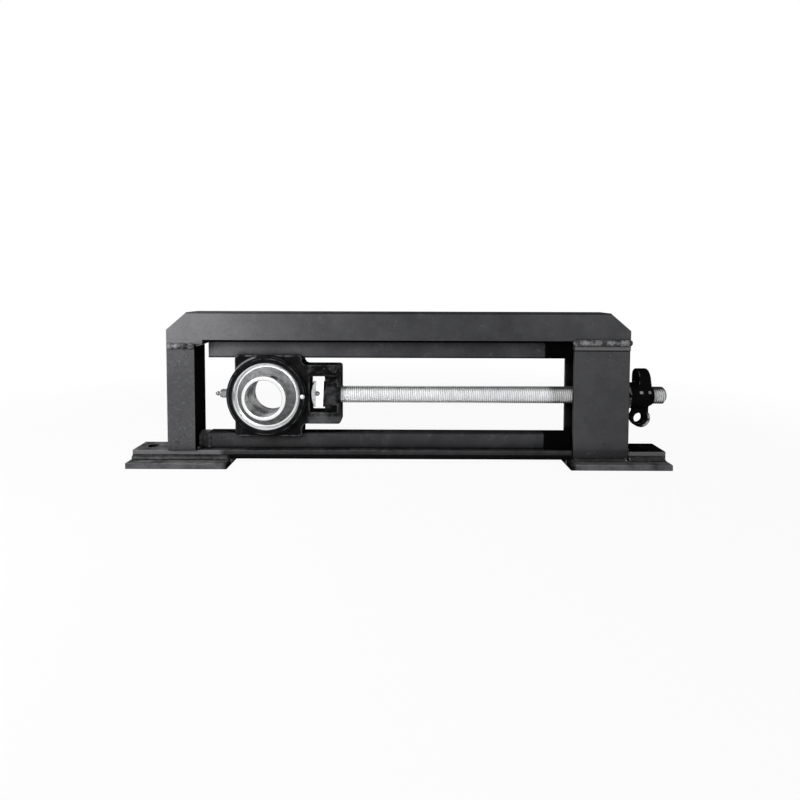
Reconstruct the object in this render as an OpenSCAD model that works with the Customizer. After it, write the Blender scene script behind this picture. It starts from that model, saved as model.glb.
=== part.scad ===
// Take up bearing unit: an insert bearing in a grooved housing that slides
// between two guide rails of a welded frame, pulled along by a screw and nut.
// +X runs along the screw, +Y away from the front, +Z up. The origin is midway
// between the two foot bolts, on the floor under the pads.

/* [Feet] */
// Length over both foot pads
foot_span = 736; // [720:1:780]
// Length of one foot pad
pad_len = 136; // [120:1:150]
// Depth of a foot pad, front to back
pad_depth = 77; // [66:1:100]
// Thickness of a foot pad
pad_t = 8; // [6:0.5:14]
// Distance from the end of a foot pad to its bolt
bolt_edge = 20; // [16:0.5:26]
// Diameter of a foot bolt hole
bolt_hole_d = 14; // [10:0.5:18]

/* [Base bar and guide rails] */
// Depth of the base bar
bar_depth = 38; // [34:1:42]
// Thickness of the base bar
bar_t = 12; // [10:0.5:16]
// Thickness of a guide rail
rail_t = 15; // [12:0.5:18]
// Height of the lower rail
low_rail_h = 22.5; // [18:0.5:30]
// Clear height between the rails
rail_gap = 104.5; // [103:0.5:112]
// Drop of the upper rail below the top angle
rail_drop = 26; // [22:0.5:32]
// Gap between the left post and the left ends of the rails
rail_end_gap = 14.5; // [12:0.5:22]
// Rounding along the edges of the rolled bars
bar_edge_r = 1.2; // [0.6:0.1:2]

/* [Top angle and posts] */
// Set-back of the left post from the end of its foot pad
left_setback = 50; // [46:1:58]
// Set-back of the right post from the end of its foot pad
right_setback = 52; // [48:1:60]
// Width of each leg of the angle iron
leg = 38; // [36:0.5:42]
// Thickness of the angle iron
leg_t = 6; // [4:0.5:7]
// Rounding in the root of the angle iron
root_r = 5; // [3:0.5:6]
// Rounding at the toes of the angle iron
toe_r = 3; // [1:0.5:3.5]
// Length of the clipped upper corners of the top angle
clip_len = 28; // [20:1:34]
// Height of the clipped upper corners of the top angle
clip_h = 24; // [18:1:30]
// Depth over the posts, front to back
frame_depth = 43; // [42:0.5:46]
// Width of the right post, a channel open towards the bearing
post_w = 76; // [70:1:84]
// Plate thickness of the right post
post_t = 6; // [4:0.5:6]
// Rounding on the outer corners of the right post
channel_edge_r = 2; // [1:0.5:3]
// Rounding in the roots of the right post
channel_root_r = 7; // [4:0.5:9]
// Thickness of the cap plates on the posts
cap_t = 6; // [4:0.5:8]
// Reach of the left cap plate past its post
cap_reach = 11; // [8:0.5:13]
// Weld gap between the right cap plate and the top angle
cap_gap = 7; // [5:0.5:8]
// Leg of the weld beads
bead = 5; // [3:0.5:5]
// Leg of the long beads that hold the base bar on the foot pads
foot_bead = 8; // [5:0.5:9]

/* [Housing] */
// Distance from the left post to the bearing's centre
rest_gap = 97; // [90:1:110]
// Clearance of the housing on each face of a rail
slide_clear = 0.5; // [0.3:0.1:0.9]
// Depth of the lips that hold the housing on the rails
lip = 4.5; // [3:0.5:7]
// Thickness of the flange, over both lips
flange_w = 28; // [26:0.5:30]
// Flange length to the left of the bearing
flange_left = 44.5; // [42:0.5:48]
// Flange length to the right of the bearing
flange_right = 48.5; // [46:0.5:54]
// Wall of the round boss over the bearing
boss_wall = 10.5; // [8:0.5:11]
// Width of the round boss, front to back
boss_w = 40; // [36:1:48]
// Chamfer on the rim of the boss
boss_chamfer = 3; // [1:0.5:3]
// Chamfer of the machined mouth
mouth_chamfer = 3; // [1:0.5:4]
// Length of the stem from the bearing's centre
stem_len = 102.5; // [98:0.5:110]
// Height of the stem
stem_h = 82; // [76:1:86]
// Rise of the stem's middle above the screw axis
stem_rise = 2; // [0:0.5:3]
// Height of the window between the stem's ribs
window_h = 50.5; // [50:0.5:58]
// Wall between the boss and the slot
slot_wall = 4; // [3:0.5:8]
// Play of the slot nut along its slot
slot_play = 3; // [1:0.5:4]
// End wall of the stem
end_wall = 5.5; // [4:0.5:9]
// Thickness of the web in the stem's pockets
web_t = 12; // [8:0.5:16]
// Diameter of the cast boss round the screw
screw_boss_d = 34; // [32:0.5:38]
// Fillet between flange and stem
stem_fillet = 7; // [4:0.5:9]

/* [Bearing] */
// Shaft bore
bore_d = 50; // [48:0.5:52]
// Radial section, from the bore to the spherical outside
section = 20; // [19.5:0.25:20.5]
// Width of the outer ring
outer_w = 24; // [22:0.5:25]
// Width of the inner ring
inner_w = 51.6; // [48:0.1:54]
// Short side of the inner ring, from the ball plane
inner_short = 19; // [18:0.1:21]
// Wall of the inner ring, as a share of the bearing's section
wall_share = 0.25; // [0.22:0.01:0.28]
// Ball diameter, as a share of the bearing's section
ball_share = 0.635; // [0.58:0.005:0.65]
// Number of balls
ball_n = 10; // [8:1:11]
// Clearance between ball and raceway
ball_clear = 0.05; // [0.02:0.01:0.1]
// Clearance of the outer ring in its spherical seat
seat_clear = 0.05; // [0.02:0.01:0.1]
// Diameter of a set screw
set_screw_d = 10; // [8:0.5:11]

/* [Screw and nuts] */
// Diameter of the adjusting screw
screw_d = 24; // [21:0.5:25]
// Length of the screw past the right post
screw_stub = 57; // [54:1:80]
// Width across the flats of the square slot nut
nut_af = 35; // [32:0.5:36]
// Thickness of the slot nut
nut_t = 16.5; // [14:0.5:18]
// Upward tilt of the slot nut's front face
nut_tilt = 14; // [0:1:20]
// Diameter of the pin through the slot nut
pin_d = 7; // [5:0.5:8]
// Running clearance of the adjusting nut on the screw
thread_clear = 0.06; // [0.02:0.01:0.1]
// Clearance of pieces that are fitted by hand
fit_clear = 0.3; // [0.2:0.05:0.5]
// Clearance of pieces that are pressed or screwed home
seated_clear = 0.05; // [0.02:0.01:0.1]
// Diameter of the thrust washer
washer_d = 40; // [36:1:46]
// Thickness of the thrust washer
washer_t = 4; // [3:0.5:5]
// Diameter of the adjusting nut's hub
hub_d = 36; // [33:0.5:40]
// Length of the adjusting nut's hub
hub_len = 34; // [32:0.5:38]
// Length of the hub's tapered nose
nose_len = 9; // [6:0.5:11]
// Height of the adjusting nut's solid ear above the screw axis
ear_h = 38; // [34:0.5:42]
// Width of the ear, front to back
ear_w = 24; // [20:0.5:28]
// Thickness of the ear at its tip
ear_tip_t = 14.5; // [11:0.5:17]
// Thickness of the eye
eye_t = 11; // [9:0.5:14]
// Distance of the eye below the screw axis
eye_drop = 31.5; // [30:0.5:35]
// Outside diameter of the eye
eye_d = 26; // [24:0.5:30]
// Hole in the eye
eye_hole_d = 14.5; // [11:0.5:16]
// Offset of the eye's hole towards the post
eye_offset = 3; // [0:0.25:3]

/* [Grease fittings] */
// Width across the flats of the grease nipple
nipple_af = 11; // [9:0.5:12]
// Length of the nipple outside the housing
nipple_len = 21; // [19:0.5:23]
// Height of the nipple above the screw axis
nipple_z = 0.5; // [0:0.5:5]
// Head diameter of the locating pin on the boss face
loc_head_d = 7; // [5:0.5:8]

/* [Hidden] */
$fn = 64;
over = 1;

// Heights of the frame
bar_z = pad_t;
rail_z = bar_z + bar_t;
track_z = rail_z + low_rail_h;
axis_z = track_z + rail_gap / 2;
upper_z = track_z + rail_gap;
angle_z = upper_z + rail_drop;
top_z = angle_z + leg;
left_cap_z = angle_z - cap_t;
right_cap_z = angle_z - cap_gap - cap_t;
web_hole_clear = 1;

// Places along the frame
foot_x = foot_span / 2;
bolt_x = foot_x - bolt_edge;
left_x = left_setback - foot_x;
left_in = left_x + leg;
right_x = foot_x - right_setback;
right_in = right_x - post_w;
rail_x = left_in + rail_end_gap;
front_y = -frame_depth / 2;

// Welds
face_bead_d = 1.2 * bead;
stitch_n = 4;
stitch_len = 36;
stitch_inset = 40;
stitch_step = (right_in - rail_x - 2 * stitch_inset - stitch_len) / (stitch_n - 1);
stitch_xs = [for (i = [0:stitch_n - 1]) rail_x + stitch_inset + i * stitch_step];

// Housing
rest_x = left_in + rest_gap;
groove_w = rail_t + 2 * slide_clear;
groove_gap = rail_gap - 2 * slide_clear;
flange_h = groove_gap + 2 * lip;
bore_r = bore_d / 2;
outer_r = bore_r + section;
boss_r = outer_r + boss_wall;
slot_x = boss_r + slot_wall;
slot_w = nut_t + slot_play;
pocket_x = slot_x + slot_w;
corner_r = 4;
window_r = 3;
pocket_r = 2;

// Bearing, measured from its ball plane
inner_wall = wall_share * section;
inner_r = bore_r + inner_wall;
ball_r = ball_share * section / 2;
race_r = ball_r + ball_clear;
shoulder = 1.35;
pitch_r = inner_r + race_r - shoulder;
outer_shoulder_r = pitch_r + race_r - shoulder;
mouth_r = sqrt(pow(outer_r, 2) - pow(outer_w / 2, 2)) + fit_clear;
seal_t = 1.6;
seal_inset = 0.6;
seal_z = outer_w / 2 - seal_t - seal_inset;
seal_lip = 2;
seal_ramp = 1;
lip_clear = 0.35;
flinger_t = 1.2;
flinger_gap = 0.6;
flinger_rise = 4;
flinger_foot = outer_w / 2 + flinger_gap;
flinger_crown = flinger_foot + flinger_rise;
flinger_lap = 1.5;
flinger_r = outer_shoulder_r + flinger_lap;
cage_wall = 4.8;
pocket_clear = 0.25;
seal_gap = 0.95;
cage_back = seal_z - seal_gap;
ring_chamfer = 0.8;
ring_front = inner_w - inner_short;
set_screw_z = (flinger_crown + ring_front - ring_chamfer) / 2;
set_screw_angles = [185, 65];
set_screw_proud = 0.5;
socket_floor = 2;

// Screw and adjusting nut
screw_r = screw_d / 2;
screw_chamfer = 2;
screw_end = right_x + screw_stub;
slot_nut_x = rest_x + pocket_x - fit_clear - nut_t;
nut_face_inset = 0.5;
pin_x = slot_nut_x + nut_t / 2;
pin_len = nut_af - 1;
washer_x = right_x;
nut_x = washer_x + washer_t + fit_clear;
hub_back_chamfer = 1;
nose_lip = 1.5;
ear_set = 13;
ear_x = nut_x + ear_set;
eye_inset = 6.5;
eye_x = nut_x + eye_inset + eye_d / 2;
neck_inset = 3;

// Grease nipple, measured from the bearing's centre
spot_r = 7;
spot_depth = 1;
spot_x = boss_r - spot_depth;
nipple_floor = 1;
nipple_hole_x = outer_r + seat_clear + nipple_floor;
nipple_shank_r = 3;
nipple_shank = spot_x - nipple_hole_x - nipple_floor;
nipple_hex_h = 12;
nipple_shoulder_h = 1.5;
nipple_cone_h = 2;
nipple_neck_r = 2.2;
nipple_head_r = 3.2;
nipple_head_h = 5;
nipple_tip_r = 1.2;
nipple_tip_h = 2.5;
grease_r = 1.5;
loc_shank_r = 2;
loc_depth = 8;
loc_r = (outer_r + boss_r) / 2;
loc_head_h = 2.2;

frame_paint = "#3d4043";
cast_paint = "#1d1e20";
steel = "#b9bcc0";
zinc = "#d4d7da";

// Plane shapes, all built from squares and circles

module round_rect(w, h, r) {
    square([w - 2 * r, h], center = true);
    square([w, h - 2 * r], center = true);
    for (sx = [-1, 1], sy = [-1, 1])
        translate([sx * (w / 2 - r), sy * (h / 2 - r)]) circle(r);
}

module span_rect(x0, x1, h, r) {
    translate([(x0 + x1) / 2, 0]) round_rect(x1 - x0, h, r);
}

// Material left in an inner corner, in the first quadrant
module inner_fillet(r) {
    difference() {
        square(r);
        translate([r, r]) circle(r);
    }
}

// Material to cut from an outer corner, in the first quadrant
module outer_round(r) {
    difference() {
        square(r + over);
        circle(r);
    }
}

module quarter_disc(r) {
    intersection() {
        circle(r);
        square(r);
    }
}

// Rolled angle section with its heel at the origin and legs along +x and +y
module angle_section() {
    difference() {
        union() {
            square([leg, leg_t]);
            square([leg_t, leg]);
            translate([leg_t, leg_t]) inner_fillet(root_r);
        }
        translate([leg - toe_r, leg_t - toe_r]) outer_round(toe_r);
        translate([leg_t - toe_r, leg - toe_r]) outer_round(toe_r);
    }
}

// Rectangle whose two right-hand corners are rounded
module bent_end(x0, x1, d, r) {
    translate([x0, -d / 2]) square([x1 - x0 - r, d]);
    translate([x0, r - d / 2]) square([x1 - x0, d - 2 * r]);
    for (s = [-1, 1]) translate([x1 - r, s * (d / 2 - r)]) circle(r);
}

// Placing helpers

// Extrudes a Y-Z section from x0 to x1
module along_x(x0, x1) {
    translate([x0, 0, 0]) rotate([90, 0, 90]) linear_extrude(x1 - x0) children();
}

// Extrudes an X-Z outline to both sides of the middle plane
module through_y(w) {
    rotate([90, 0, 0]) linear_extrude(w, center = true) children();
}

module at_bearing() {
    translate([rest_x, 0, axis_z]) children();
}

// Turns a revolved piece so that its axis runs along Y, with +z towards the front
module on_bearing_axis() {
    at_bearing() rotate([90, 0, 0]) children();
}

// Cylinder along X on the screw axis
module screw_cylinder(x0, x1, r) {
    translate([x0, 0, axis_z]) rotate([0, 90, 0]) cylinder(h = x1 - x0, r = r);
}

module flat_bar(x0, x1, depth, z0, h) {
    along_x(x0, x1) translate([0, z0 + h / 2]) round_rect(depth, h, bar_edge_r);
}

module foot_hole(side) {
    translate([side * bolt_x, 0, -over]) cylinder(h = rail_z + 2 * over, d = bolt_hole_d);
}

// Quarter round weld section in the quadrant that the signs u and v give
module bead_section(u, v, r = bead) {
    mirror([u < 0 ? 1 : 0, 0]) mirror([0, v < 0 ? 1 : 0]) quarter_disc(r);
}

// Weld running along Y in the corner at x, z
module bead_along_y(x, z, len, dx, dz) {
    translate([x, 0, z]) through_y(len) bead_section(dx, dz);
}

// Weld running along X in the corner at y, z
module bead_along_x(x0, x1, y, z, dy, dz, r = bead) {
    along_x(x0, x1) translate([y, z]) bead_section(dy, dz, r);
}

// Welded frame

module left_foot_pad() {
    color(frame_paint) difference() {
        flat_bar(-foot_x, pad_len - foot_x, pad_depth, 0, pad_t);
        foot_hole(-1);
    }
}

module right_foot_pad() {
    color(frame_paint) difference() {
        flat_bar(foot_x - pad_len, foot_x, pad_depth, 0, pad_t);
        foot_hole(1);
    }
}

module base_bar() {
    color(frame_paint) difference() {
        flat_bar(-foot_x, right_in, bar_depth, bar_z, bar_t);
        foot_hole(-1);
    }
}

module right_toe_plate() {
    color(frame_paint) difference() {
        flat_bar(right_x, foot_x, bar_depth, bar_z, bar_t);
        foot_hole(1);
    }
}

module lower_rail() {
    color(frame_paint) flat_bar(rail_x, right_in, rail_t, rail_z, low_rail_h);
}

module upper_rail() {
    color(frame_paint) flat_bar(rail_x, right_in, rail_t, upper_z, top_z - leg_t - upper_z);
}

// Triangle cut from one upper end of the top angle, side -1 for the left end
module end_clip(x, side) {
    slope = clip_h / clip_len;
    translate([x, 0, top_z]) mirror([side > 0 ? 1 : 0, 0, 0]) through_y(3 * frame_depth) polygon([
        [-over, over], [clip_len + over / slope, over], [-over, -clip_h - over * slope]
    ]);
}

module top_angle() {
    color(frame_paint) difference() {
        along_x(left_x, right_x) translate([front_y, top_z]) mirror([0, 1]) angle_section();
        end_clip(left_x, -1);
        end_clip(right_x, 1);
    }
}

module left_post() {
    color(frame_paint) translate([left_in, front_y, rail_z])
        linear_extrude(left_cap_z - rail_z) mirror([1, 0]) angle_section();
}

module right_post() {
    color(frame_paint) difference() {
        translate([0, 0, pad_t]) linear_extrude(right_cap_z - pad_t) difference() {
            bent_end(right_in, right_x, frame_depth, channel_edge_r);
            bent_end(right_in - over, right_x - post_t, frame_depth - 2 * post_t, channel_root_r);
        }
        screw_cylinder(right_x - post_t - over, right_x + over, screw_r + web_hole_clear);
    }
}

module left_cap_plate() {
    color(frame_paint) translate([left_x, front_y, left_cap_z]) cube([leg + cap_reach, leg, cap_t]);
}

module right_cap_plate() {
    color(frame_paint) translate([right_in, front_y, right_cap_z]) cube([post_w, frame_depth, cap_t]);
}

// Round faced butt weld that fills the gap over the right cap plate
module cap_weld() {
    along_x(right_in, right_x) translate([front_y, angle_z - cap_gap / 2]) {
        translate([0, -cap_gap / 2]) square([leg_t, cap_gap]);
        intersection() {
            circle(d = cap_gap);
            translate([-cap_gap, -cap_gap / 2]) square([cap_gap, cap_gap]);
        }
    }
}

// Half round bead laid on the front of the left post, over its joint with the cap plate
module left_face_weld() {
    along_x(left_x + bead, left_in - bead / 2) translate([front_y, left_cap_z - bead / 2]) intersection() {
        circle(d = face_bead_d);
        translate([-bead, -bead]) square([bead, 2 * bead]);
    }
}

// Weld metal between the left post and the end of the lower rail
module rail_end_weld() {
    along_x(left_in, rail_x) translate([0, rail_z + low_rail_h / 2])
        round_rect(rail_t - bead, low_rail_h, bar_edge_r);
}

module weld_beads() {
    color(frame_paint) {
        cap_weld();
        left_face_weld();
        rail_end_weld();
        bead_along_y(left_in, rail_z, bar_depth - 2 * bead, 1, 1);
        bead_along_y(left_in, left_cap_z, leg - 2 * bead, 1, -1);
        bead_along_y(rail_x, rail_z, rail_t - 2 * bar_edge_r, -1, 1);
        bead_along_y(right_x, rail_z, bar_depth - 2 * bead, 1, 1);
        for (s = [-1, 1]) {
            bead_along_x(right_in, right_x - channel_edge_r, s * frame_depth / 2, pad_t, s, 1);
            bead_along_x(-foot_x, pad_len - foot_x, s * bar_depth / 2, pad_t, s, 1, foot_bead);
            bead_along_x(right_x, foot_x, s * bar_depth / 2, pad_t, s, 1, foot_bead);
        }
        for (x = stitch_xs) {
            bead_along_x(x, x + stitch_len, rail_t / 2, rail_z, 1, 1);
            bead_along_x(x, x + stitch_len, rail_t / 2, top_z - leg_t, 1, -1);
        }
    }
}

// Housing

module housing_outline() {
    span_rect(-flange_left, flange_right, flange_h, corner_r);
    translate([0, stem_rise]) {
        span_rect(0, stem_len, stem_h, corner_r);
        for (s = [0, 1]) mirror([0, s]) translate([flange_right, stem_h / 2]) inner_fillet(stem_fillet);
    }
}

// Recesses in the front and back of the stem, beside the screw boss
module stem_pockets() {
    depth = (flange_w - web_t) / 2;
    for (s = [-1, 1]) translate([0, s * (web_t + depth + over) / 2, stem_rise]) through_y(depth + over)
        span_rect(slot_x, stem_len - end_wall, window_h, pocket_r);
}

module boss() {
    rotate([90, 0, 0]) rotate_extrude() polygon([
        [0, -boss_w / 2], [boss_r - boss_chamfer, -boss_w / 2], [boss_r, boss_chamfer - boss_w / 2],
        [boss_r, boss_w / 2 - boss_chamfer], [boss_r - boss_chamfer, boss_w / 2], [0, boss_w / 2]
    ]);
}

// Spherical seat and its two machined mouths
module seat() {
    sphere(r = outer_r + seat_clear, $fn = 96);
    rotate([90, 0, 0]) rotate_extrude() polygon([
        [0, -boss_w / 2 - over], [mouth_r + mouth_chamfer + over, -boss_w / 2 - over],
        [mouth_r, mouth_chamfer - boss_w / 2], [mouth_r, boss_w / 2 - mouth_chamfer],
        [mouth_r + mouth_chamfer + over, boss_w / 2 + over], [0, boss_w / 2 + over]
    ]);
}

// Slots at the back through which the insert goes in, turned sideways
module loading_slots() {
    slot_half = outer_r + fit_clear;
    slot_h = outer_w + 2 * fit_clear;
    translate([-slot_half, 0, -slot_h / 2]) cube([2 * slot_half, boss_w, slot_h]);
}

module rail_grooves() {
    reach = max(flange_left, flange_right, boss_r) + over;
    for (s = [0, 1]) mirror([0, 0, s])
        translate([-reach, -groove_w / 2, groove_gap / 2]) cube([2 * reach, groove_w, flange_h]);
}

module nipple_seat() {
    translate([0, 0, nipple_z]) rotate([0, -90, 0]) {
        translate([0, 0, spot_x]) cylinder(h = boss_r, r = spot_r);
        translate([0, 0, nipple_hole_x]) cylinder(h = boss_r, r = nipple_shank_r + seated_clear);
        translate([0, 0, outer_r - over]) cylinder(h = boss_r - outer_r, r = grease_r);
    }
}

module housing() {
    color(cast_paint) at_bearing() difference() {
        union() {
            difference() {
                through_y(flange_w) housing_outline();
                stem_pockets();
            }
            boss();
            translate([pocket_x - over, 0, 0]) rotate([0, 90, 0])
                cylinder(h = stem_len - pocket_x + over, d = screw_boss_d);
        }
        rail_grooves();
        seat();
        loading_slots();
        translate([0, 0, stem_rise]) through_y(boss_w) span_rect(slot_x, pocket_x, window_h, window_r);
        translate([slot_x, 0, 0]) rotate([0, 90, 0]) cylinder(h = stem_len, r = screw_r + fit_clear);
        nipple_seat();
        translate([loc_r, loc_depth - boss_w / 2, 0]) rotate([90, 0, 0])
            cylinder(h = boss_w, r = loc_shank_r + seated_clear);
    }
}

// Insert bearing

module outer_ring() {
    color(steel) on_bearing_axis() rotate_extrude($fn = 96) difference() {
        intersection() {
            circle(outer_r);
            translate([outer_shoulder_r, -outer_w / 2]) square([outer_r, outer_w]);
        }
        translate([pitch_r, 0]) circle(race_r);
    }
}

module inner_ring() {
    back = -inner_short;
    front = ring_front;
    color(steel) on_bearing_axis() difference() {
        rotate_extrude($fn = 96) difference() {
            polygon([
                [bore_r + ring_chamfer, back], [inner_r - ring_chamfer, back],
                [inner_r, back + ring_chamfer], [inner_r, front - ring_chamfer],
                [inner_r - ring_chamfer, front], [bore_r + ring_chamfer, front],
                [bore_r, front - ring_chamfer], [bore_r, back + ring_chamfer]
            ]);
            translate([pitch_r, 0]) circle(race_r);
        }
        for (a = set_screw_angles) rotate([0, 0, a]) translate([bore_r - over, 0, set_screw_z])
            rotate([0, 90, 0]) cylinder(h = inner_wall + 2 * over, d = set_screw_d);
    }
}

module ball_set(r) {
    for (i = [0:ball_n - 1]) rotate([0, 0, i * 360 / ball_n]) translate([pitch_r, 0, 0]) sphere(r);
}

module balls() {
    color(steel) on_bearing_axis() ball_set(ball_r, $fn = 32);
}

// Snap cage: a ring behind the balls with fingers between them
module cage() {
    color("#8f9296") on_bearing_axis() difference() {
        rotate_extrude() translate([pitch_r - cage_wall / 2, -cage_back])
            square([cage_wall, cage_back + ball_r / 2]);
        ball_set(ball_r + pocket_clear, $fn = 32);
    }
}

// Seal disc with a stepped lip, on the side given
module seal(side) {
    on_bearing_axis() mirror([0, 0, side < 0 ? 1 : 0]) rotate_extrude() polygon([
        [inner_r + lip_clear, seal_z], [outer_shoulder_r - seated_clear, seal_z],
        [outer_shoulder_r - seated_clear, seal_z + seal_t],
        [inner_r + seal_lip + seal_ramp, seal_z + seal_t], [inner_r + seal_lip, seal_z + seal_t / 2],
        [inner_r + lip_clear, seal_z + seal_t / 2]
    ]);
}

module front_seal() { color("#2a2a2c") seal(1); }

module rear_seal() { color("#2a2a2c") seal(-1); }

// Pressed steel flinger: a collar on the inner ring and a dished disc
module flinger(side) {
    foot = flinger_foot;
    crown = flinger_crown;
    hub_r = inner_r + seated_clear;
    on_bearing_axis() mirror([0, 0, side < 0 ? 1 : 0]) rotate_extrude() polygon([
        [hub_r, foot], [hub_r + flinger_t, foot], [hub_r + flinger_t, crown - flinger_t],
        [flinger_r - flinger_t, foot + flinger_t / 2], [flinger_r - flinger_t, foot],
        [flinger_r, foot], [flinger_r, foot + 1.5 * flinger_t],
        [hub_r + flinger_t, crown], [hub_r, crown]
    ]);
}

module front_flinger() { color("#9da1a5") flinger(1); }

module rear_flinger() { color("#9da1a5") flinger(-1); }

module set_screws() {
    color(steel) on_bearing_axis() for (a = set_screw_angles) rotate([0, 0, a])
        translate([bore_r + seated_clear, 0, set_screw_z]) rotate([0, 90, 0]) difference() {
            cylinder(h = inner_wall + set_screw_proud, d = set_screw_d - 2 * seated_clear);
            translate([0, 0, socket_floor]) cylinder(h = inner_wall, d = set_screw_d / 2, $fn = 6);
        }
}

// Grease nipple and locating pin

module grease_nipple() {
    shoulder_z = nipple_hex_h + nipple_shoulder_h;
    head_z = nipple_len - nipple_head_h;
    tip_z = nipple_len - nipple_tip_h;
    color(zinc) at_bearing() translate([0, 0, nipple_z]) rotate([0, -90, 0]) translate([0, 0, spot_x]) {
        translate([0, 0, -nipple_shank]) cylinder(h = nipple_shank, r = nipple_shank_r);
        cylinder(h = nipple_hex_h, d = nipple_af / cos(30), $fn = 6);
        rotate_extrude() polygon([
            [0, 0], [nipple_af / 2, 0], [nipple_af / 2, shoulder_z],
            [nipple_neck_r, shoulder_z + nipple_cone_h], [nipple_neck_r, head_z],
            [nipple_head_r, (head_z + tip_z) / 2], [nipple_head_r, tip_z],
            [nipple_tip_r, nipple_len], [0, nipple_len]
        ]);
    }
}

module locating_pin() {
    dome_r = (pow(loc_head_d / 2, 2) + pow(loc_head_h, 2)) / (2 * loc_head_h);
    color(zinc) at_bearing() translate([loc_r, -boss_w / 2, 0]) rotate([90, 0, 0]) {
        translate([0, 0, seated_clear - loc_depth]) cylinder(h = loc_depth, r = loc_shank_r);
        rotate_extrude() intersection() {
            square([loc_head_d, loc_head_h]);
            translate([0, loc_head_h - dome_r]) circle(dome_r);
        }
    }
}

// Screw and nuts

// Revolved about the screw axis: points are [radius, distance along X]
module turned(points) {
    translate([0, 0, axis_z]) rotate([0, 90, 0]) rotate_extrude() polygon(points);
}

// Turns a piece with the slot nut, round the screw axis
module with_nut_tilt() {
    translate([0, 0, axis_z]) rotate([-nut_tilt, 0, 0]) children();
}

module pin_hole(r) {
    with_nut_tilt() translate([pin_x, 0, 0]) rotate([90, 0, 0])
        cylinder(h = 2 * nut_af, r = r, center = true);
}

module adjusting_screw() {
    tip = screw_r - screw_chamfer;
    color(zinc) difference() {
        turned([
            [0, slot_nut_x], [tip, slot_nut_x], [screw_r, slot_nut_x + screw_chamfer],
            [screw_r, screw_end - screw_chamfer], [tip, screw_end], [0, screw_end]
        ]);
        pin_hole(pin_d / 2 + seated_clear);
    }
}

// Square nut, chamfered on the side away from the post
module slot_nut() {
    face_r = nut_af / 2 - nut_face_inset;
    corner = nut_af / sqrt(2);
    rise = (corner - face_r) * tan(30);
    color(zinc) difference() {
        intersection() {
            with_nut_tilt() translate([slot_nut_x, -nut_af / 2, -nut_af / 2]) cube([nut_t, nut_af, nut_af]);
            turned([
                [0, slot_nut_x], [face_r, slot_nut_x], [corner, slot_nut_x + rise],
                [corner, slot_nut_x + nut_t], [0, slot_nut_x + nut_t]
            ]);
        }
        screw_cylinder(slot_nut_x - over, slot_nut_x + nut_t + over, screw_r + seated_clear);
        pin_hole(pin_d / 2 + seated_clear);
    }
}

// Rolled spring pin through the slot nut and the screw
module lock_pin() {
    wall = pin_d / 5;
    color("#4a4c4f") with_nut_tilt() translate([pin_x, 0, 0]) rotate([90, 0, 0]) difference() {
        cylinder(h = pin_len, d = pin_d, center = true);
        cylinder(h = nut_af, d = pin_d - 2 * wall, center = true);
        translate([0, -wall / 2, -nut_af / 2]) cube([pin_d, wall, nut_af]);
    }
}

module thrust_washer() {
    color(steel) difference() {
        screw_cylinder(washer_x, washer_x + washer_t, washer_d / 2);
        screw_cylinder(washer_x - over, washer_x + washer_t + over, screw_r + fit_clear);
    }
}

// Solid ear: a tongue with a round end, tapered towards its tip
module ear() {
    root_t = hub_len - ear_set - nose_lip;
    intersection() {
        through_y(ear_w) polygon([
            [ear_x, 0], [ear_x + root_t, 0], [ear_x + ear_tip_t, ear_h], [ear_x, ear_h]
        ]);
        along_x(ear_x, ear_x + root_t) {
            translate([0, ear_h - ear_w / 2]) circle(d = ear_w);
            translate([-ear_w / 2, 0]) square([ear_w, ear_h - ear_w / 2]);
        }
    }
}

module eye() {
    through_y(eye_t) {
        translate([eye_x, -eye_drop]) circle(d = eye_d);
        translate([eye_x - eye_d / 2 + neck_inset, -eye_drop])
            square([eye_d - 2 * neck_inset, eye_drop - hub_d / 4]);
    }
}

module adjusting_nut() {
    hub_r = hub_d / 2;
    hub_face = nut_x + hub_len;
    color(cast_paint) difference() {
        union() {
            turned([
                [0, nut_x], [hub_r - hub_back_chamfer, nut_x], [hub_r, nut_x + hub_back_chamfer],
                [hub_r, hub_face - nose_len], [screw_r + nose_lip, hub_face], [0, hub_face]
            ]);
            translate([0, 0, axis_z]) {
                ear();
                eye();
            }
        }
        screw_cylinder(nut_x - over, eye_x + eye_d, screw_r + thread_clear);
        translate([eye_x - eye_offset, 0, axis_z - eye_drop]) rotate([90, 0, 0])
            cylinder(h = 2 * eye_t, d = eye_hole_d, center = true);
    }
}

left_foot_pad();
right_foot_pad();
base_bar();
right_toe_plate();
lower_rail();
upper_rail();
top_angle();
left_post();
right_post();
left_cap_plate();
right_cap_plate();
weld_beads();
housing();
outer_ring();
inner_ring();
balls();
cage();
front_seal();
rear_seal();
front_flinger();
rear_flinger();
set_screws();
grease_nipple();
locating_pin();
adjusting_screw();
slot_nut();
lock_pin();
thrust_washer();
adjusting_nut();
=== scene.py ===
import math
import random

import bpy
from mathutils import Matrix, Vector


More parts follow.
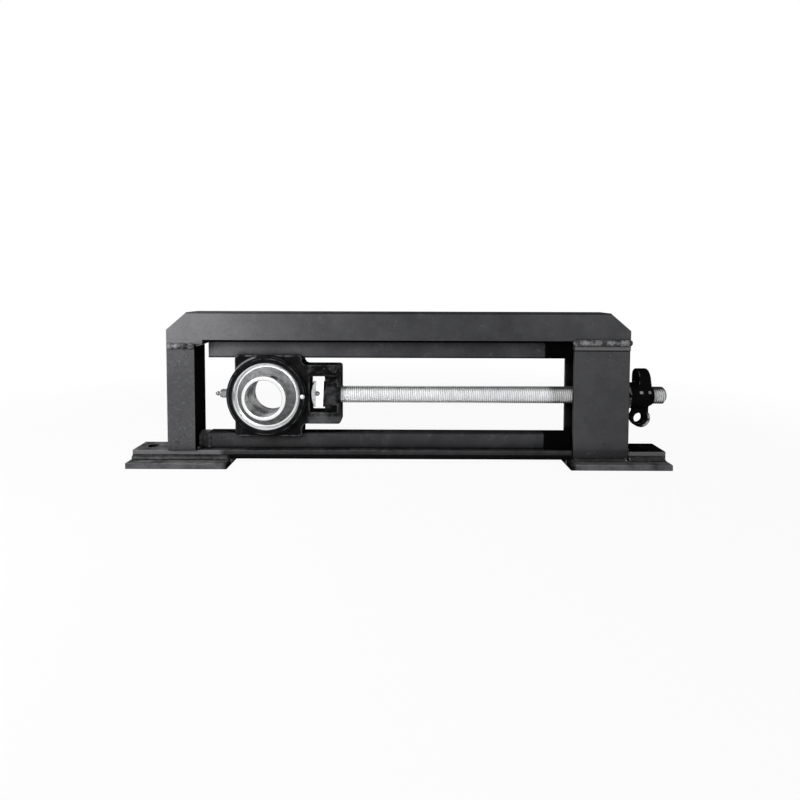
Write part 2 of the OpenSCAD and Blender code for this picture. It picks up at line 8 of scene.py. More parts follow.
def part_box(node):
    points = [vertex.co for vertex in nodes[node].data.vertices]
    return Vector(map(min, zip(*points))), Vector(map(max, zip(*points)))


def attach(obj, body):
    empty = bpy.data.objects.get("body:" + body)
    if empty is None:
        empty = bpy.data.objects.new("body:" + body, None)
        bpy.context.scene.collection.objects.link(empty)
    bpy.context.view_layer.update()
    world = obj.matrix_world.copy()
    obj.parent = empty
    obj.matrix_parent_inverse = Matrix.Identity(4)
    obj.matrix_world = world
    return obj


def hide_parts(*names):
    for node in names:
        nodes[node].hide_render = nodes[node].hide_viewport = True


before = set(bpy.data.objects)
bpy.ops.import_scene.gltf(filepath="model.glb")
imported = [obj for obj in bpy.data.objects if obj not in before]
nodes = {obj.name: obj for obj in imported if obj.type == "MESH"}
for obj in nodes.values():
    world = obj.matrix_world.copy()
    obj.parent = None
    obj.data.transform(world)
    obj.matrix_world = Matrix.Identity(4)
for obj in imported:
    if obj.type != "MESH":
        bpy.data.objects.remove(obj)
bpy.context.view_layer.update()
print("frame loaded,", len(nodes), "nodes")


# Shader maths

class Wire:
    # a socket's output that sums can be written with
    def __init__(self, finish, socket):
        self.finish = finish
        self.socket = socket

    def calc(self, operation, first, second=0.0, clamp=False):
        settings = {"operation": operation, "use_clamp": clamp}
        return self.finish.node("ShaderNodeMath", settings, {0: first, 1: second})

    def __add__(self, other):
        return self.calc("ADD", self, other)

    def __radd__(self, other):
        return self.calc("ADD", other, self)

    def __sub__(self, other):
        return self.calc("SUBTRACT", self, other)

    def __rsub__(self, other):
        return self.calc("SUBTRACT", other, self)

    def __mul__(self, other):
        return self.calc("MULTIPLY", self, other)

    def __rmul__(self, other):
        return self.calc("MULTIPLY", other, self)

    def __pow__(self, other):
        return self.calc("POWER", self, other)

    def __abs__(self):
        return self.calc("ABSOLUTE", self)

    def clamp(self):
        return self.calc("ADD", self, 0.0, clamp=True)

    # 0 below low, 1 above high, smooth between
    def rise(self, low, high):
        settings = {"interpolation_type": "SMOOTHSTEP"}
        sockets = {"Value": self, "From Min": low, "From Max": high}
        return self.finish.node("ShaderNodeMapRange", settings, sockets)

    # 1 below low, 0 above high, smooth between
    def fall(self, low, high):
        return 1 - self.rise(low, high)

    # rises from start to full, and falls again from fade to end
    def band(self, start, full, fade, end):
        return self.rise(start, full) * self.fall(fade, end)


class Finish:
    # one material, with its principled shader ready
    def __init__(self, name):
        self.material = bpy.data.materials.new(name)
        self.material.use_nodes = True
        self.tree = self.material.node_tree
        self.shader = self.tree.nodes["Principled BSDF"]

    def feed(self, socket, value):
        if isinstance(value, Wire):
            self.tree.links.new(value.socket, socket)
        elif isinstance(value, tuple) and len(value) == 3 and socket.type == "RGBA":
            socket.default_value = (*value, 1.0)
        else:
            socket.default_value = value

    def node(self, kind, settings=None, sockets=None, out=0):
        made = self.tree.nodes.new(kind)
        for key, value in (settings or {}).items():
            setattr(made, key, value)
        for key, value in (sockets or {}).items():
            self.feed(made.inputs[key], value)
        return Wire(self, made.outputs[out])

    def place(self):
        return self.node("ShaderNodeTexCoord", out="Object")

    def noise(self, scale, detail=2.0, roughness=0.5):
        sockets = {"Vector": self.place(), "Scale": scale, "Detail": detail, "Roughness": roughness}
        return self.node("ShaderNodeTexNoise", {}, sockets, out="Fac")

    def blend(self, factor, first, second):
        sockets = {0: factor, 6: first, 7: second}
        return self.node("ShaderNodeMix", {"data_type": "RGBA"}, sockets, out=2)

    def bump(self, height, distance, under=None):
        sockets = {"Height": height, "Distance": distance, "Strength": 1.0}
        if under:
            sockets["Normal"] = under
        return self.node("ShaderNodeBump", {}, sockets)

    # the normal as if sharp edges were rounded
    def softened(self, radius):
        return self.node("ShaderNodeBevel", {"samples": 4}, {"Radius": radius})

    # 1 along sharp edges, where the softened normal leaves the true one
    def sharpness(self, soft):
        flat = self.node("ShaderNodeNewGeometry", out="Normal")
        settings = {"operation": "DOT_PRODUCT"}
        turn = self.node("ShaderNodeVectorMath", settings, {0: soft, 1: flat}, out="Value")
        return (1 - turn).rise(0.02, 0.22)

    # 1 along the rounded outer edges of a finely meshed piece
    def ridges(self, low, high):
        return self.node("ShaderNodeNewGeometry", out="Pointiness").rise(low, high)

    # 1 where a surface is shut in by others nearer than reach, 0 in the open
    def corners(self, reach, shut, clear):
        sockets = {"Distance": reach}
        seen = self.node("ShaderNodeAmbientOcclusion", {"samples": 6}, sockets, out="AO")
        return seen.fall(shut, clear)

    def shade(self, **sockets):
        for key, value in sockets.items():
            self.feed(self.shader.inputs[key.replace("_", " ")], value)
        return self.material


def middle(name):
    low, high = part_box(name)
    return (low + high) / 2


bearingCentre = middle("inner_ring")
boreRadius = min((v.co - bearingCentre).xz.length for v in nodes["inner_ring"].data.vertices)
screwAxis = middle("adjusting_screw")


def parts(finish, vector):
    split = finish.node("ShaderNodeSeparateXYZ", {}, {"Vector": vector}).socket.node
    return [Wire(finish, split.outputs[axis]) for axis in "XYZ"]


def length(first, second):
    return (first * first + second * second) ** 0.5


def bearingRadius(finish):
    x, z = parts(finish, finish.place())[::2]
    return length(x - bearingCentre.x, z - bearingCentre.z)


def screwRadius(finish):
    y, z = parts(finish, finish.place())[1:]
    return length(y - screwAxis.y, z - screwAxis.z)


# fine marks of a turned face, in rings round an axis
def turnedMarks(finish, radius, scale):
    sockets = {"W": radius, "Scale": scale, "Detail": 3}
    return finish.node("ShaderNodeTexNoise", {"noise_dimensions": "1D"}, sockets, out="Fac")


# Frame paint

# the pale colour serves both for worn paint and for painted highlights
framePaintLook = {
    "paint": (0.036, 0.0365, 0.0385), "thin": (0.062, 0.0625, 0.0655), "wornAndHighlight": (0.15, 0.15, 0.155),
    "dust": (0.15, 0.149, 0.146), "paintedShade": (0.002, 0.002, 0.002), "roughness": 0.5, "gloss": 0.0,
    "peel": 0.00007, "edgeRadius": 0.0013, "edgeWearAndHighlight": 0.75, "scuffWear": 0.3,
}
# where each mark starts and ends, along the frame or from the edge that it follows, and how strong it is
frameMarks = {
    "dust": {"along": (-0.3, 0.2), "share": 0.9, "fade": 0.75},
    "handled": {"depth": (0.003, 0.0075), "over": (0.001, 0.006), "share": 0.17},
    "calm": {"along": (-0.1, 0.03, 0.15, 0.25), "over": (-0.008, -0.003), "share": 0.9},
    "kicked": {"edge": (-0.0002, 0.0006), "along": (-0.3, 0.3), "share": 0.6, "gain": 0.4},
    "skirt": {"depth": (-0.0013, -0.0008, 0.0002, 0.0008), "height": (-0.0075, -0.0055, 0.0002, 0.001),
              "gap": (-0.25, -0.24, 0.3, 0.31), "share": 0.75},
    "caps": {"leftEnd": (-0.001, -0.0005), "rightStart": (-0.04, -0.03), "shear": 0.001,
             "joint": (-0.0012, -0.0008, 0.0002, 0.0006), "share": 0.85},
    "rail": {"depth": (-0.0045, -0.0015), "low": (-0.007, -0.001), "high": (0, 0.002)},
    "leftHighlight": {"angle": (-0.3, -0.11), "over": (-0.008, 0.002), "rail": (-0.3, 0.0), "railShare": 0.75},
    "mottled": {"along": (-0.32, -0.06), "fade": 0.85, "light": 0.45, "dark": 0.4},
    "railEndShadow": {"along": (-0.038, -0.036, 0, 0.004), "depth": (-0.014, -0.01, -0.003, 0.004),
              "under": (-0.001, -0.0005)},
    "shadePlaces": {"along": (0, 0.01), "height": (-0.002, -0.001, 0.001, 0.002), "end": (-0.001, 0),
            "low": (-0.002, -0.001), "inner": (0.001, 0.002), "corner": (-0.0044, -0.0034),
            "facing": (0.6, 0.9), "share": 0.9},
    "rims": {"lowRail": (-0.0026, -0.0014, 0, 0.001), "highRail": (-0.001, 0, 0.0014, 0.003),
             "crown": (-0.0024, -0.0014), "crownDepth": (0.001, 0.0015), "share": 0.65},
    "bar": {"along": (-0.24, -0.23, 0.235, 0.24), "under": (-0.0065, -0.0045), "depth": (0.0002, 0.0008),
            "share": 0.7},
    "cornerShade": {"reach": 0.05, "open": (0.45, 0.92), "share": 0.3, "gain": 0.6},
}


# dust lies on the upper faces, most of it at the left
def upperDust(x, up, streak):
    mark = frameMarks["dust"]
    level = up.rise(0.4, 0.95) * streak.rise(0.35, 0.65)
    return level * (mark["share"] - x.rise(*mark["along"]) * mark["fade"])


# faces that stand out at the front are handled, less so in the middle of the angle
def handledFaces(x, y, z):
    mark, calm = frameMarks["handled"], frameMarks["calm"]
    front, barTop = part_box("right_post")[0].y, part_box("base_bar")[1].z
    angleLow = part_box("top_angle")[0].z
    calmed = x.band(*calm["along"]) * (z - angleLow).rise(*calm["over"]) * calm["share"]
    faces = (y - front).fall(*mark["depth"]) * (z - barTop).rise(*mark["over"])
    return faces * (1 - calmed) * mark["share"]


# the foot pads are kicked, most of all at the right
def kickedPads(x, z, streak):
    mark = frameMarks["kicked"]
    pads = (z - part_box("left_foot_pad")[1].z).fall(*mark["edge"])
    return pads * streak.rise(0.2, 0.62) * (mark["share"] + x.rise(*mark["along"]) * mark["gain"])


# the fronts of the base bar over the left pad and of the toe plate are rubbed
def rubbedSkirt(x, y, z):
    mark = frameMarks["skirt"]
    low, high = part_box("base_bar")
    face = (y - low.y).band(*mark["depth"]) * (z - high.z).band(*mark["height"])
    return face * (1 - x.band(*mark["gap"])) * mark["share"]


# bare sheared edges of the cap plates, and painted shade in the joints under them
def capEdges(x, z):
    mark = frameMarks["caps"]
    atLeft = (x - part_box("left_post")[1].x).fall(*mark["leftEnd"])
    atRight = (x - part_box("right_post")[0].x).rise(*mark["rightStart"])
    bare, joint = 0.0, 0.0
    for name, there in (("left_cap_plate", atLeft), ("right_cap_plate", atRight)):
        low, high = (corner.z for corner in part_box(name))
        bare = there * z.band(low, low + mark["shear"], high - mark["shear"], high) + bare
        joint = there * (z - low).band(*mark["joint"]) + joint
    return bare * mark["share"], joint


# the front of the upper rail, where it shows below the angle
def railFace(y, z):
    mark = frameMarks["rail"]
    low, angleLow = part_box("upper_rail")[0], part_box("top_angle")[0].z
    face = (y - low.y).rise(*mark["depth"]) * (z - low.z).rise(*mark["low"])
    return face * (z - angleLow).fall(*mark["high"])


# painted highlight on the left ends of the top angle and the upper rail
def paintedLeftEndHighlight(x, z, rail, streak):
    mark = frameMarks["leftHighlight"]
    angleEnd = x.fall(*mark["angle"]) * (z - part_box("top_angle")[0].z).rise(*mark["over"])
    railEnd = x.fall(*mark["rail"]) * rail * mark["railShare"]
    return ((angleEnd + railEnd) * (0.5 + streak * 0.6)).clamp()


# old paint at the left is mottled
def mottle(f, x, colour):
    look, mark = framePaintLook, frameMarks["mottled"]
    fleck = f.noise(300, 4, 0.75)
    there = 1 - x.rise(*mark["along"]) * mark["fade"]
    colour = f.blend(fleck.rise(0.52, 0.72) * there * mark["light"], colour, look["wornAndHighlight"])
    return f.blend(fleck.fall(0.3, 0.47) * there * mark["dark"], colour, look["paint"])


# painted shadow, black, on the rail ends beside the right post, where they are welded to it
def paintedRailEndShadow(x, y, z):
    mark = frameMarks["railEndShadow"]
    along = (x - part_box("right_post")[0].x).band(*mark["along"])
    return along * y.band(*mark["depth"]) * (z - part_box("top_angle")[0].z).fall(*mark["under"])


# painted shade on the toe plate's top under the screw's end and on the pad beyond it, on the left post's
# inner face, and a painted shadow along the top of the upper rail under the angle
def paintedShadePlaces(x, z, aside, up, rail):
    mark = frameMarks["shadePlaces"]
    low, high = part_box("right_toe_plate")
    toeTop = (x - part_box("right_post")[0].x).rise(*mark["along"]) * (z - high.z).band(*mark["height"])
    toeEnd = (x - high.x).rise(*mark["end"]) * (z - low.z).rise(*mark["low"])
    level = (toeTop + toeEnd).clamp() * up.rise(*mark["facing"])
    inner = aside.rise(*mark["facing"]) * (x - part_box("left_post")[1].x).fall(*mark["inner"])
    corner = rail * (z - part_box("top_angle")[0].z).rise(*mark["corner"])
    return (level + inner + corner).clamp() * mark["share"]


# painted shade along the long edges of the rails and the angle
def paintedShadeRims(y, z):
    mark = frameMarks["rims"]
    upper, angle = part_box("upper_rail")[0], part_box("top_angle")
    rims = (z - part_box("lower_rail")[1].z).band(*mark["lowRail"]) + (z - upper.z).band(*mark["highRail"])
    rims = rims * (y - upper.y).rise(*frameMarks["rail"]["depth"])
    crown = (z - angle[1].z).rise(*mark["crown"]) * (y - angle[0].y).fall(*mark["crownDepth"])
    return (rims + crown) * mark["share"]


# painted shadow low on the front of the base bar
def paintedBarShadow(x, y, z):
    mark = frameMarks["bar"]
    low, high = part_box("base_bar")
    under = x.band(*mark["along"]) * (z - high.z).fall(*mark["under"])
    return under * (y - low.y).fall(*mark["depth"]) * mark["share"]


# painted shade in shut-in corners, less of it on the pads
def paintedCornerShade(f, z):
    mark = frameMarks["cornerShade"]
    above = (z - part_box("left_foot_pad")[1].z).rise(*frameMarks["kicked"]["edge"])
    return f.corners(mark["reach"], *mark["open"]) * (mark["share"] + above * mark["gain"])


def makeFramePaint():
    look = framePaintLook
    f = Finish("framePaint")
    x, y, z = parts(f, f.place())
    aside, up = parts(f, f.node("ShaderNodeNewGeometry", out="Normal"))[::2]
    cloud = f.noise(13, 5, 0.6)
    streak = f.noise(46, 5, 0.65)
    grain = f.noise(420, 3, 0.55)
    scuff = f.noise(90, 6, 0.7).rise(0.6, 0.74)
    soft = f.softened(look["edgeRadius"])
    thin = cloud.rise(0.38, 0.68) * 0.6 + streak.rise(0.45, 0.7) * 0.4
    colour = f.blend(thin, look["paint"], look["thin"])
    # sharp edges are painted pale as wear and as highlight; the scuffs are wear
    wearAndEdgeHighlight = f.sharpness(soft) * look["edgeWearAndHighlight"] + scuff * look["scuffWear"]
    colour = f.blend(wearAndEdgeHighlight.clamp(), colour, look["wornAndHighlight"])
    dust = upperDust(x, up, streak)
    colour = f.blend(dust, colour, look["dust"])
    skirt = rubbedSkirt(x, y, z)
    used = handledFaces(x, y, z) + kickedPads(x, z, streak) + skirt
    colour = f.blend(used.clamp(), colour, look["wornAndHighlight"])
    bare, joint = capEdges(x, z)
    colour = f.blend(bare, colour, look["wornAndHighlight"])
    rail = railFace(y, z)
    colour = f.blend(paintedLeftEndHighlight(x, z, rail, streak), colour, look["wornAndHighlight"])
    colour = mottle(f, x, colour)
    paintedShade = paintedRailEndShadow(x, y, z)
    rims = paintedShadeRims(y, z) + paintedBarShadow(x, y, z)
    # the frame's painted shade and painted shadow all take this one dark colour
    dark = paintedShade + joint + paintedShadePlaces(x, z, aside, up, rail) + rims + paintedCornerShade(f, z) * (1 - skirt)
    colour = f.blend(dark.clamp(), colour, look["paintedShade"])
    rough = look["roughness"] + cloud * 0.14 + scuff * 0.1 + dust * 0.3 + paintedShade * 0.3
    normal = f.bump(grain + streak * 1.4, look["peel"], soft)
    return f.shade(Base_Color=colour, Roughness=rough, Normal=normal, Specular_IOR_Level=look["gloss"])


# Weld paint

weldPaintLook = {
    "paint": (0.035, 0.0355, 0.0375), "crest": (0.3, 0.3, 0.305), "root": (0.002, 0.002, 0.002),
    "foot": (0.012, 0.012, 0.0125), "roughness": 0.26, "gloss": 0.1, "relief": 0.0003, "shadeReach": 0.003,
    "feet": (-0.004, -0.003), "beside": (-0.016, -0.015, 0.008, 0.01), "besideTop": (0.004, 0.006),
    "drop": (-0.007, -0.005, 0.001, 0.002),
}


def makeWeldPaint():
    look = weldPaintLook
    f = Finish("weldPaint")
    x, z = parts(f, f.place())[::2]
    lump = f.noise(210, 4, 0.6)
    rub = f.noise(95, 4, 0.65).rise(0.42, 0.7)
    # random pale patches, as rubbed paint and as painted highlights on the beads
    colour = f.blend(rub * 0.8, look["paint"], look["crest"])
    # painted shade on the beads on the feet and beside the left post, but for a drop at the right post's
    # corner, which is left pale as a highlight
    # the foot colour is that painted shade
    low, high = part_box("lower_rail")
    feet = (z - low.z).fall(*look["feet"])
    beside = (x - low.x).band(*look["beside"]) * (z - high.z).fall(*look["besideTop"])
    drop = (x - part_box("right_post")[1].x).band(*look["drop"])
    painted = (feet * 0.9 + beside * 0.75) * (1 - drop)
    colour = f.blend(painted.clamp(), colour, look["foot"])
    # painted shade in the roots of the beads and in corners
    colour = f.blend(f.corners(look["shadeReach"], 0.45, 0.9), colour, look["root"])
    return f.shade(Base_Color=colour, Roughness=look["roughness"] + lump * 0.2,
                   Normal=f.bump(lump, look["relief"]), Specular_IOR_Level=look["gloss"])


# Housing paint, with a bare turned mouth round the bearing

castPaintLook = {
    "black": (0.005, 0.0051, 0.0055), "chipAndSheen": (0.07, 0.071, 0.073), "ridge": (0.16, 0.16, 0.165),
    "steel": (0.88, 0.885, 0.89), "mouth": (0.0425, 0.0433, 0.0459, 0.0465), "mouthDepth": (0.0119, 0.0125),
    "stemEnd": 0.02, "stem": (-0.048, -0.042), "lowerEdgeReflection": (0, 0.003, 0.008, 0.013),
    "streak": (0.0543, 0.0555, 0.0567, 0.0577), "streakLeft": (0.012, 0.02), "streakUp": (0.028, 0.036),
    "gloss": 0.0, "relief": 0.0009,
}


def makeCastPaint():
    look = castPaintLook
    f = Finish("castPaint")
    x, y, z = parts(f, f.place())
    radius = bearingRadius(f)
    mouth = radius.band(*look["mouth"]) * abs(y).rise(*look["mouthDepth"])
    sand = f.noise(260, 4, 0.6)
    lump = f.noise(45, 3, 0.5)
    marks = turnedMarks(f, radius, 5200)
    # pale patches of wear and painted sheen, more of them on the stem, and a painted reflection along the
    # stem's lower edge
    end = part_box("housing")[1].x
    stemLow = min(v.co.z for v in nodes["housing"].data.vertices if v.co.x > end - look["stemEnd"])
    stem = (x - end).rise(*look["stem"])
    lowerEdgeReflection = stem * (z - stemLow).band(*look["lowerEdgeReflection"]) * 0.6
    wornAndHighlight = sand.rise(0.5, 0.8) * 0.5 + lump.rise(0.45, 0.7) * 0.5
    colour = f.blend((wornAndHighlight * (0.15 + stem * 1.35) + lowerEdgeReflection).clamp(), look["black"], look["chipAndSheen"])
    # edges are painted pale as wear and as highlight, and a painted highlight streak lies on the upper left
    # edge of the round boss
    ridge = f.ridges(0.504, 0.54) * f.noise(80, 3, 0.6).rise(0.35, 0.65) * (0.8 - stem * 0.5)
    streak = radius.band(*look["streak"]) * (bearingCentre.x - x).rise(*look["streakLeft"])
    streak = streak * (z - bearingCentre.z).rise(*look["streakUp"])
    colour = f.blend((ridge + streak * 0.9).clamp(), colour, look["ridge"])
    colour = f.blend(mouth, colour, look["steel"])
    rough = (0.3 + sand * 0.14) * (1 - mouth) + (0.24 + marks * 0.12) * mouth
    normal = f.bump((sand * 0.6 + lump * 1.6) * (1 - mouth) + marks * mouth * 0.03, look["relief"])
    return f.shade(Base_Color=colour, Roughness=rough, Metallic=mouth, Normal=normal,
                   Specular_IOR_Level=look["gloss"])


# Adjusting nut's paint

nutPaintLook = {
    "black": (0.004, 0.004, 0.0045), "wornAndHighlight": (0.4, 0.4, 0.41), "gloss": 0.0, "relief": 0.0004,
    "spotShift": 0.003, "spotApart": (0.003, 0.0045, 0.0075, 0.009), "spotDepth": (-0.01, -0.005),
    "spotHeight": (0.0045, 0.006, 0.0078, 0.0093), "eye": 0.0145, "rim": (-0.0035, -0.0015),
    "rimRight": (0.002, 0.007), "rimLow": (0.003, 0.008),
}


def makeNutPaint():
    look = nutPaintLook
    f = Finish("nutPaint")
    x, y, z = parts(f, f.place())
    lump = f.noise(160, 4, 0.6)
    rub = f.noise(95, 5, 0.7).rise(0.62, 0.78)
    # painted highlights: spots on the front of the hub, and the lower right of the eye's rim
    across, height = x - middle("adjusting_nut").x, z - screwAxis.z
    apart = abs(across - look["spotShift"])
    spots = height.band(*look["spotHeight"]) * y.fall(*look["spotDepth"])
    spots = spots * apart.band(*look["spotApart"]) * 0.6
    drop = z - (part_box("adjusting_nut")[0].z + look["eye"])
    rim = (length(across, drop) - look["eye"]).rise(*look["rim"]) * lump.rise(0.35, 0.6)
    rim = rim * across.rise(*look["rimRight"]) * drop.fall(*look["rimLow"])
    # rubbed paint, and rounded edges painted pale as highlights
    wornAndHighlight = rub * 0.12 + f.ridges(0.515, 0.56) * lump.rise(0.45, 0.65) * 0.5 + spots + rim
    colour = f.blend(wornAndHighlight.clamp(), look["black"], look["wornAndHighlight"])
    return f.shade(Base_Color=colour, Roughness=0.14 + lump * 0.16, Metallic=rub * 0.1,
                   Normal=f.bump(lump, look["relief"]), Specular_IOR_Level=look["gloss"])


# Bearing steels

steelLooks = {
    "bearingSteel": {"bright": (0.9, 0.905, 0.91), "dull": (0.6, 0.605, 0.615), "roughness": 0.18,
                     "haze": 70},
    "ringSteel": {"bright": (0.95, 0.952, 0.955), "dull": (0.75, 0.755, 0.765), "roughness": 0.2,
                  "haze": 70},
    "pressedSteel": {"bright": (0.14, 0.141, 0.144), "dull": (0.04, 0.041, 0.042), "roughness": 0.45,
                     "haze": 150},
}
bearingMarks = {"rim": 0.0405, "bore": (0.1, 0.101, 0.103), "band": 0.0006, "edgeRadius": 0.0004,
                "relief": 0.000012}


# the flingers have a bright outer rim, and the bore's wall gets painted shade, dark and hardly metallic
def makeBearingSteel(name):
    look, marked = steelLooks[name], bearingMarks
    f = Finish(name)
    radius = bearingRadius(f)
    marks = turnedMarks(f, radius, 4200)
    haze = f.noise(look["haze"], 4, 0.6).rise(0.3, 0.7)
    colour = f.blend((marks * 0.3 + haze * 0.5).clamp(), look["bright"], look["dull"])
    rim = (radius - marked["rim"]).rise(0, marked["band"])
    colour = f.blend(rim * 0.8, colour, steelLooks["bearingSteel"]["bright"])
    wall = (radius - boreRadius).fall(marked["band"] / 2, marked["band"])
    colour = f.blend(wall, colour, f.blend(haze * 0.6, marked["bore"], look["dull"]))
    rough = look["roughness"] + marks * 0.1 + haze * 0.1 + wall * 0.25
    normal = f.bump(marks, marked["relief"], f.softened(marked["edgeRadius"]))
    return f.shade(Base_Color=colour, Roughness=rough, Metallic=1 - wall * 0.92, Normal=normal,
                   Specular_IOR_Level=0.0)


# Zinc

zincLooks = {
    "zincPlate": {"bright": (0.8, 0.805, 0.81), "blue": (0.6, 0.625, 0.66), "roughness": 0.22, "metal": 1.0,
                  "specks": 0.3},
    "zincDull": {"bright": (0.3, 0.305, 0.31), "blue": (0.18, 0.187, 0.198), "roughness": 0.3, "metal": 0.9,
                 "specks": 0.3},
    "threadZinc": {"bright": (0.9, 0.905, 0.91), "blue": (0.78, 0.79, 0.81), "roughness": 0.5, "metal": 0.05,
                   "specks": 0.15},
}
zincMarks = {"soilAndShade": (0.06, 0.059, 0.058), "edgeRadius": 0.0004, "relief": 0.00003, "sides": 0.75,
             "thread": 0.25, "stub": 0.6, "post": 0.35, "postReach": (-0.034, -0.022), "corner": 0.8,
             "grease": (-0.001, 0, 0.006, 0.008)}
screwLook = {"pitch": 0.003, "crest": 0.0120, "root": 0.0104, "flat": 0.0004, "steps": 28, "chamfer": 0.002}


# painted shade along the screw's upper and lower sides, more on the lower one; grime and painted shade in
# the thread; darker towards and inside the right post; grime on the outer end
def screwDirtAndShade(f, cloud):
    marked = zincMarks
    root, crest = screwLook["root"], screwLook["crest"] - 0.0003
    inX, outX = (corner.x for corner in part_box("right_post"))
    x, z = parts(f, f.place())[::2]
    height = z - screwAxis.z
    sides = abs(height).rise(root * 0.55, crest) + (0 - height).rise(root * 0.5, crest) * 0.3
    stub = x.rise(outX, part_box("adjusting_nut")[1].x) * cloud * marked["stub"]
    start, full = (inX + reach for reach in marked["postReach"])
    inside = x.band(start, full, inX, outX) * marked["post"]
    return screwRadius(f).fall(root, crest) * marked["thread"] + sides * marked["sides"] + stub + inside


# painted shade in shut-in corners, and a painted shadow on the left of the slot nut
def nutShade(f, cloud):
    marked = zincMarks
    x = parts(f, f.place())[0]
    # the grease band is that painted shadow
    grease = (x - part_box("slot_nut")[0].x).band(*marked["grease"]) * (0.4 + cloud * 0.6)
    return f.corners(0.02, 0.3, 0.7) * marked["corner"] + grease


def makeZinc(name, findDirtAndShade):
    look, marked = zincLooks[name], zincMarks
    f = Finish(name)
    cloud = f.noise(38, 5, 0.65)
    speck = f.noise(300, 3, 0.6)
    colour = f.blend(cloud.rise(0.35, 0.72), look["bright"], look["blue"])
    # specks of dirt, with each part's dirt and painted shade
    dirtAndShade = speck.rise(0.6, 0.85) * look["specks"] + findDirtAndShade(f, cloud)
    colour = f.blend(dirtAndShade.clamp(), colour, marked["soilAndShade"])
    rough = look["roughness"] + cloud * 0.16 + speck * 0.06
    normal = f.bump(speck, marked["relief"], f.softened(marked["edgeRadius"]))
    return f.shade(Base_Color=colour, Roughness=rough, Metallic=look["metal"], Normal=normal,
                   Specular_IOR_Level=0.0)


# Rubber and spring steel

grainLooks = {
    "sealRubber": {"dark": (0.012, 0.012, 0.013), "light": (0.03, 0.03, 0.031), "scale": 900, "detail": 3,
                   "roughness": 0.5, "metal": 0.0, "relief": 0.00004},
    "springSteel": {"dark": (0.035, 0.034, 0.034), "light": (0.11, 0.105, 0.1), "scale": 420, "detail": 4,
                    "roughness": 0.3, "metal": 0.8, "relief": 0.00003},
}


def makeGrained(name):
    look = grainLooks[name]
    f = Finish(name)
    grain = f.noise(look["scale"], look["detail"], 0.6)
    return f.shade(Base_Color=f.blend(grain, look["dark"], look["light"]), Metallic=look["metal"],
                   Roughness=look["roughness"] + grain * 0.2, Normal=f.bump(grain, look["relief"]))


framePaint = makeFramePaint()
weldPaint = makeWeldPaint()
castPaint = makeCastPaint()
nutPaint = makeNutPaint()
bearingSteel = makeBearingSteel("bearingSteel")
ringSteel = makeBearingSteel("ringSteel")
pressedSteel = makeBearingSteel("pressedSteel")
zincPlate = makeZinc("zincPlate", nutShade)
zincDull = makeZinc("zincDull", nutShade)
threadZinc = makeZinc("threadZinc", screwDirtAndShade)
sealRubber = makeGrained("sealRubber")
springSteel = makeGrained("springSteel")
print("finishes made")


# Modelling helpers

def startFresh():
    if bpy.context.object and bpy.context.object.mode != "OBJECT":
        bpy.ops.object.mode_set(mode="OBJECT")
    bpy.ops.object.select_all(action="DESELECT")


def finishModifier(piece, kind, **settings):
    bpy.context.view_layer.objects.active = piece
    made = piece.modifiers.new(kind.lower(), kind)
    for key, value in settings.items():
        setattr(made, key, value)
    bpy.ops.object.modifier_apply(modifier=made.name)


def wearFinish(piece, material):
    piece.data.materials.clear()
    piece.data.materials.append(material)


def settle(piece, name, body, material):
    piece.name = name
    piece.data.name = name
    wearFinish(piece, material)
    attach(piece, body)
    return piece


# a copy of a CAD node as one closed mesh, free of the frame's tags
def copyNode(name):
    startFresh()
    nodes[name].select_set(True)
    bpy.context.view_layer.objects.active = nodes[name]
    bpy.ops.object.duplicate()
    piece = bpy.context.object
    piece.parent = None
    for key in list(piece.keys()):
        del piece[key]
    bpy.ops.object.mode_set(mode="EDIT")
    bpy.ops.mesh.select_all(action="SELECT")
    bpy.ops.mesh.remove_doubles(threshold=0.00002)
    bpy.ops.object.mode_set(mode="OBJECT")
    return piece


# Castings: the CAD shape with its edges rolled over as sand or a die leaves them

castings = {
    "housing": {"name": "castHousing", "voxel": 0.0009, "rounds": 5, "body": "carriage", "finish": castPaint,
                "slot": "cast_paint"},
    "adjusting_nut": {"name": "eyeNut", "voxel": 0.0006, "rounds": 6, "body": "nut", "finish": nutPaint,
                      "slot": "nut_black"},
}


def makeCasting(node, look):
    piece = copyNode(node)
    finishModifier(piece, "REMESH", mode="VOXEL", voxel_size=look["voxel"], use_smooth_shade=True)
    finishModifier(piece, "SMOOTH", factor=0.5, iterations=look["rounds"])
    bpy.ops.object.shade_smooth()
    settle(piece, look["name"], look["body"], look["finish"])
    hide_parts(node)
    print(look["name"], len(piece.data.polygons), "faces")


for nodeName, castLook in castings.items():
    makeCasting(nodeName, castLook)


# Adjusting screw with its thread

# one pitch of the thread's profile turned into a helix that is longer than the screw
def turnThread(low, high):
    look = screwLook
    startFresh()
    bpy.ops.mesh.primitive_plane_add(size=0.001, location=(0, 0, 0))
    piece = bpy.context.object
    bpy.ops.object.mode_set(mode="EDIT")
    bpy.ops.mesh.select_all(action="SELECT")
    bpy.ops.mesh.merge(type="CENTER")
    # root, flank, crest, flank
    flank = (look["pitch"] - 2 * look["flat"]) / 2
    rise = look["crest"] - look["root"]
    bpy.ops.transform.translate(value=(0, 0, look["root"]))
    for step in ((look["flat"], 0, 0), (flank, 0, rise), (look["flat"], 0, 0), (flank, 0, -rise)):
        bpy.ops.mesh.extrude_region_move(TRANSFORM_OT_translate={"value": step})
    bpy.ops.object.mode_set(mode="OBJECT")
    turns = math.ceil((high.x - low.x) / look["pitch"]) + 3
    finishModifier(piece, "SCREW", axis="X", angle=2 * math.pi, screw_offset=look["pitch"],
                   steps=look["steps"], render_steps=look["steps"], iterations=turns,
                   use_merge_vertices=True, merge_threshold=0.00002, use_normal_calculate=True)
    piece.location = (low.x - 1.5 * look["pitch"], screwAxis.y, screwAxis.z)
    bpy.ops.object.transform_apply(location=True, rotation=True, scale=True)
    return piece


